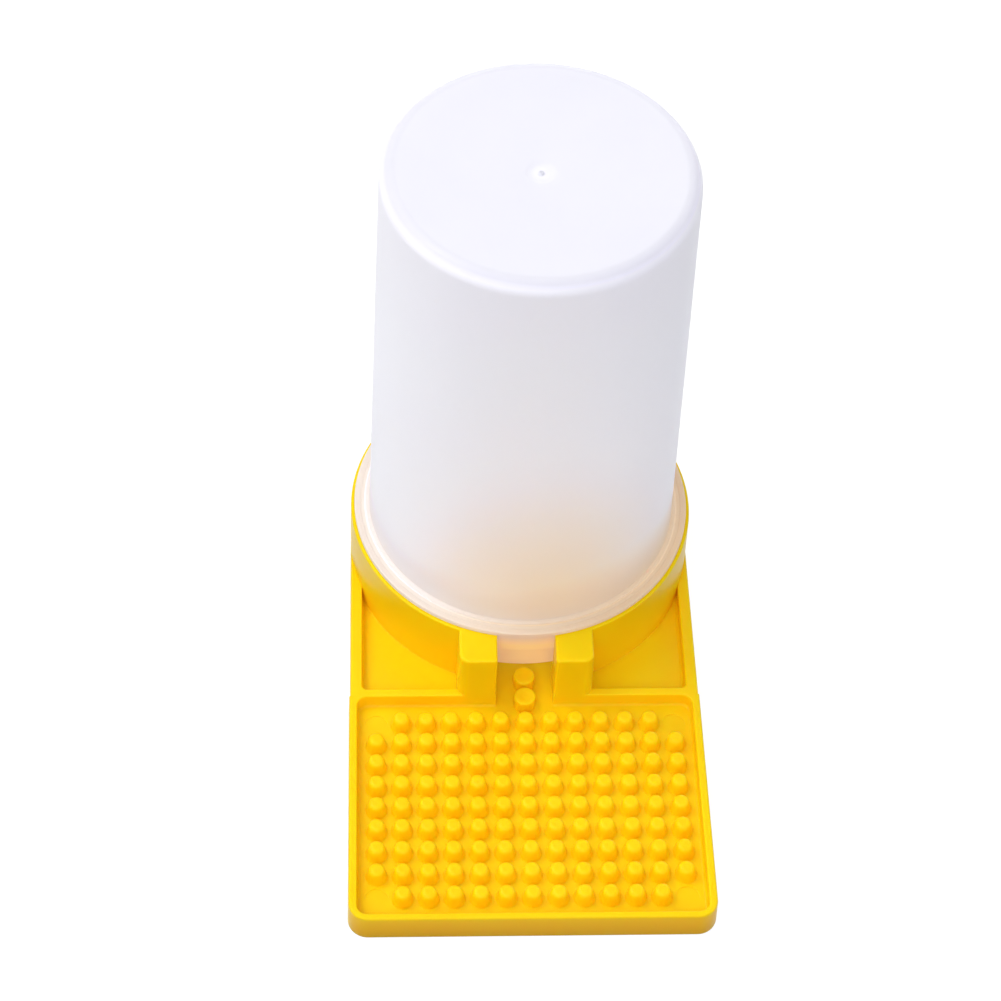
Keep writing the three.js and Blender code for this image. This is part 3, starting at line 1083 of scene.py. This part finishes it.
@dataclass
class SyrupBottle:
    """The milky bottle: tube, closed end with a gate mark, flange, lip and open mouth."""

    places: Places
    seat_gap: float = 0.05 * MM
    flange_rise: float = 1.2 * MM
    flange_edge: float = 0.3 * MM
    tube_radius: float = 37.55 * MM
    tube_draft: float = math.radians(1.2)
    wall: float = 1.3 * MM
    end_wall: float = 1.5 * MM
    end_round: float = 3.4 * MM
    end_dish: float = 1.2 * MM
    lip_radius: float = 40.2 * MM
    lip_thickness: float = 1.2 * MM
    lip_reach: float = 6.9 * MM
    bead_width: float = 1.0 * MM
    bead_height: float = 0.5 * MM
    groove_width: float = 0.8 * MM
    groove_depth: float = 0.2 * MM
    groove_inset: float = 1.2 * MM
    groove_shares: tuple = ((0, 0), (0.3, 0.8), (0.5, 1), (0.7, 0.8), (1, 0))
    bead_shares: tuple = ((1, 0), (0.92, 0.6), (0.7, 0.95), (0.4, 1), (0.1, 1.3))
    bead_fade_share: float = 2.2
    gate_radius: float = 3.7 * MM
    gate_depth: float = 0.4 * MM
    gate_slope: float = 1.5 * MM
    nub_radius: float = 0.6 * MM
    nub_height: float = 0.6 * MM
    slope_shares: tuple = ((0, 0), (0.3, 0.2), (0.7, 0.8), (1, 1))
    nub_shares: tuple = ((1.4, 0), (1, 2 / 15), (0.8, 0.8), (0.5, 1))
    sharp_degrees: float = 40

    @property
    def flange_bottom(self) -> float:
        """The level of the flange's underside."""
        return self.places.cup_rim_z + self.seat_gap

    @property
    def flange_top(self) -> float:
        """The level of the flange's upper face."""
        return self.places.cup_rim_z + self.flange_rise

    def radius_at(self, height: float) -> float:
        """The outer radius of the tube at a height; it narrows towards the closed end."""
        return self.tube_radius - (height - self.flange_top) * math.tan(self.tube_draft)

    def end_curve(self, reach: float, level: float) -> Profile:
        """The dished closed end: its rings from the rim to just beside the axis."""
        shares = (1 - step / CORNER_STEPS for step in range(CORNER_STEPS))
        return [(reach * share, level - self.end_dish * (1 - share**2)) for share in shares]

    def inside(self) -> Profile:
        """The inner outline, from the axis at the closed end down to the mouth.

        Returns:
            Radius and height of each ring.
        """
        level = self.places.end_z - self.end_wall
        radius = self.radius_at(self.places.end_z - self.end_round) - self.wall
        round_radius = self.end_round - self.wall
        dish = self.end_curve(radius - round_radius, level)[::-1]
        corner = top_round(radius, level, round_radius)[::-1]
        return [*dish, *corner[1:]]

    def mouth(self) -> Profile:
        """The rounded edge of the open mouth, from the inside to the outside.

        Returns:
            Radius and height of each ring.
        """
        outer = self.radius_at(self.places.mouth_z)
        half = self.wall / 2
        turns = (math.pi * step / (2 * EDGE_STEPS) for step in range(2 * EDGE_STEPS + 1))
        return [
            (outer - half - half * math.cos(turn), self.places.mouth_z + half - half * math.sin(turn))
            for turn in turns
        ]

    def lip(self) -> Profile:
        """The short lip under the flange, which centres the bottle in the cup.

        Returns:
            Radius and height of each ring.
        """
        inner, outer = self.lip_radius - self.lip_thickness, self.lip_radius
        low, edge = self.places.cup_rim_z - self.lip_reach, self.flange_edge
        inner_edge = [(inner + turn, low + edge - rise) for turn, rise in quarter_round(edge)]
        outer_edge = [(outer - turn, low + edge - rise) for turn, rise in quarter_round(edge)][::-1]
        return [
            (self.radius_at(self.flange_bottom), self.flange_bottom),
            (inner, self.flange_bottom),
            *inner_edge,
            *outer_edge,
            (outer, self.flange_bottom),
        ]

    def flange(self) -> Profile:
        """The flange, with a fine groove near its edge and a bead at the tube's root.

        Returns:
            Radius and height of each ring.
        """
        top, outer = self.flange_top, self.places.flange_radius
        groove = (outer - self.groove_inset, top)
        fade = top + self.bead_height * self.bead_fade_share
        return [
            (outer, self.flange_bottom),
            *top_round(outer, top, self.flange_edge),
            *outline(self.groove_shares, groove, (-self.groove_width, -self.groove_depth)),
            *outline(self.bead_shares, (self.tube_radius, top), (self.bead_width, self.bead_height)),
            (self.radius_at(fade), fade),
        ]

    def outside_end(self) -> Profile:
        """The rounded shoulder, the dished end and the gate mark at its middle.

        Returns:
            Radius and height of each ring.
        """
        end = self.places.end_z
        radius = self.radius_at(end - self.end_round)
        shoulder = top_round(radius, end, self.end_round, CORNER_STEPS)
        dish = [ring for ring in self.end_curve(radius - self.end_round, end) if ring[0] > self.gate_radius]
        low = end - self.end_dish
        slope = outline(self.slope_shares, (self.gate_radius, low), (-self.gate_slope, -self.gate_depth))
        nub = outline(self.nub_shares, (0, low - self.gate_depth), (self.nub_radius, self.nub_height))
        return [*shoulder, *dish[1:], *slope, *nub]

    def build(self, finish: bpy.types.Material) -> Piece:
        """Makes the bottle, dresses it and sets it on its body.

        Args:
            finish: The material of the bottle.

        Returns:
            The finished piece.
        """
        profile = [*self.inside(), *self.mouth(), *self.lip(), *self.flange(), *self.outside_end()]
        body = turned("milky_bottle", profile, ROUND_STEPS, y=self.places.cup_y)
        smooth(body, self.sharp_degrees)
        body.data.materials.append(finish)
        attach(body, BodyName.BOTTLE.value)
        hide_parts("syrup_bottle")
        return body


@dataclass(frozen=True)
class Lamp:
    """A soft square lamp: its place, the length of its sides and its power in watts."""

    name: str
    place: Point
    size: float
    watts: float


@dataclass(frozen=True)
class Studio:
    """Camera, soft lamps and a white sweep, at the photograph's angle."""

    camera_place: Point = (-35.61 * MM, -384.325 * MM, 550.77 * MM)
    camera_degrees: Point = (38.402, -1.949, -1.733)
    focal_pixels: float = 2708.71
    image_pixels: float = 1001
    sensor: float = 36.0
    near_clip: float = 10 * MM
    far_clip: float = 20
    floor_size: float = 6
    floor_colour: Colour = linear(122, 122, 122)
    floor_roughness: float = 0.8
    floor_glow: float = 0.87
    white: Colour = (1, 1, 1, 1)
    fill_colour: Colour = (0.92, 0.94, 1, 1)
    fill_strength: float = 0.55
    lamp_target: Point = (0, 0, 50 * MM)
    lamps: tuple[Lamp, ...] = (
        Lamp("key_lamp", (-0.56, 0.21, 1.0), 0.5, 5.35),
        Lamp("front_lamp", (-0.2, -0.78, 1.0), 0.8, 6.0),
        Lamp("right_lamp", (0.9, -0.15, 0.3), 0.6, 0.6),
        Lamp("left_lamp", (-0.9, -0.15, 0.3), 0.6, 0.35),
        Lamp("back_lamp", (0.3, 0.95, 0.22), 0.8, 2.4),
    )

    def camera(self) -> None:
        """Sets the camera where the photograph was taken from."""
        data = bpy.data.cameras.new("photo_camera")
        data.sensor_width = self.sensor
        data.lens = self.focal_pixels / self.image_pixels * self.sensor
        data.clip_start, data.clip_end = self.near_clip, self.far_clip
        camera = bpy.data.objects.new("photo_camera", data)
        camera.location = self.camera_place
        camera.rotation_euler = [math.radians(angle) for angle in self.camera_degrees]
        bpy.context.scene.collection.objects.link(camera)
        bpy.context.scene.camera = camera

    def lamp(self, lamp: Lamp) -> None:
        """Adds a lamp that points at the object.

        Args:
            lamp: What lamp it is and where it stands.
        """
        data = bpy.data.lights.new(lamp.name, "AREA")
        data.size, data.energy = lamp.size, lamp.watts
        light = bpy.data.objects.new(lamp.name, data)
        light.location = lamp.place
        aim = Vector(self.lamp_target) - Vector(lamp.place)
        light.rotation_euler = aim.to_track_quat("-Z", "Y").to_euler()
        bpy.context.scene.collection.objects.link(light)

    def seen_rays(self, tree: bpy.types.NodeTree) -> Socket:
        """Picks out the rays in which the background is seen, straight, mirrored or through plastic.

        Args:
            tree: The node tree that asks.

        Returns:
            The socket that is 1 for those rays and 0 for the rest.
        """
        rays = tree.nodes.new("ShaderNodeLightPath")
        seen = rays.outputs["Is Camera Ray"]
        for other in ("Is Glossy Ray", "Is Transmission Ray"):
            either = tree.nodes.new("ShaderNodeMath")
            either.operation = "MAXIMUM"
            tree.links.new(seen, either.inputs[0])
            tree.links.new(rays.outputs[other], either.inputs[1])
            seen = either.outputs["Value"]
        return seen

    def world(self) -> None:
        """Lights the object evenly from a pale surrounding, which shows white to the camera."""
        world = bpy.data.worlds.new("studio")
        bpy.context.scene.world = world
        world.use_nodes = True
        tree = world.node_tree
        tree.nodes.clear()
        shown = add_node(tree, "ShaderNodeBackground", color=self.white)
        fill = add_node(tree, "ShaderNodeBackground", color=self.fill_colour, strength=self.fill_strength)
        mix = add_node(tree, "ShaderNodeMixShader", fac=self.seen_rays(tree))
        tree.links.new(fill.outputs["Background"], mix.inputs[1])
        tree.links.new(shown.outputs["Background"], mix.inputs[2])
        add_node(tree, "ShaderNodeOutputWorld", surface=mix.outputs["Shader"])

    def floor(self) -> None:
        """Lays a white floor that keeps the object's soft shadow."""
        deselect_all()
        bpy.ops.mesh.primitive_plane_add(size=self.floor_size, location=(0, 0, 0))
        floor = settle(bpy.context.object)
        floor.name = "studio_floor"
        shading = Shading("studio_white")
        glow = add_node(shading.tree, "ShaderNodeMath", value=self.seen_rays(shading.tree))
        glow.operation = "MULTIPLY"
        glow.inputs[1].default_value = self.floor_glow
        shading.set(base_color=self.floor_colour, roughness=self.floor_roughness)
        shading.set(emission_color=self.white, emission_strength=glow.outputs["Value"])
        floor.data.materials.append(shading.material)

    def build(self) -> None:
        """Sets up the view, the light and the floor."""
        bpy.context.scene.view_settings.view_transform = "Standard"
        self.camera()
        self.world()
        self.floor()
        for lamp in self.lamps:
            self.lamp(lamp)


def main() -> None:
    """Builds the studio, the base and the bottle, and reports each piece."""
    logging.basicConfig(level=logging.INFO, format="%(message)s")
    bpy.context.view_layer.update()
    places = Places.from_frame()
    Studio().build()
    lip_middle = (0, places.cup_y, places.cup_rim_z / 2)
    tube_front = (0, places.cup_y - places.flange_radius, places.cup_rim_z)
    end_middle = (0, places.cup_y, places.end_z)
    pieces = [
        FeederBase(places).build(YellowPlastic().material((0, places.front_y, 0))),
        SyrupBottle(places).build(MilkyPlastic().material(lip_middle, tube_front, end_middle)),
    ]
    for piece in pieces:
        faces, material = len(piece.data.polygons), piece.active_material.name
        log.info("%s: %d faces, material %s", piece.name, faces, material)


if __name__ == "__main__":
    main()
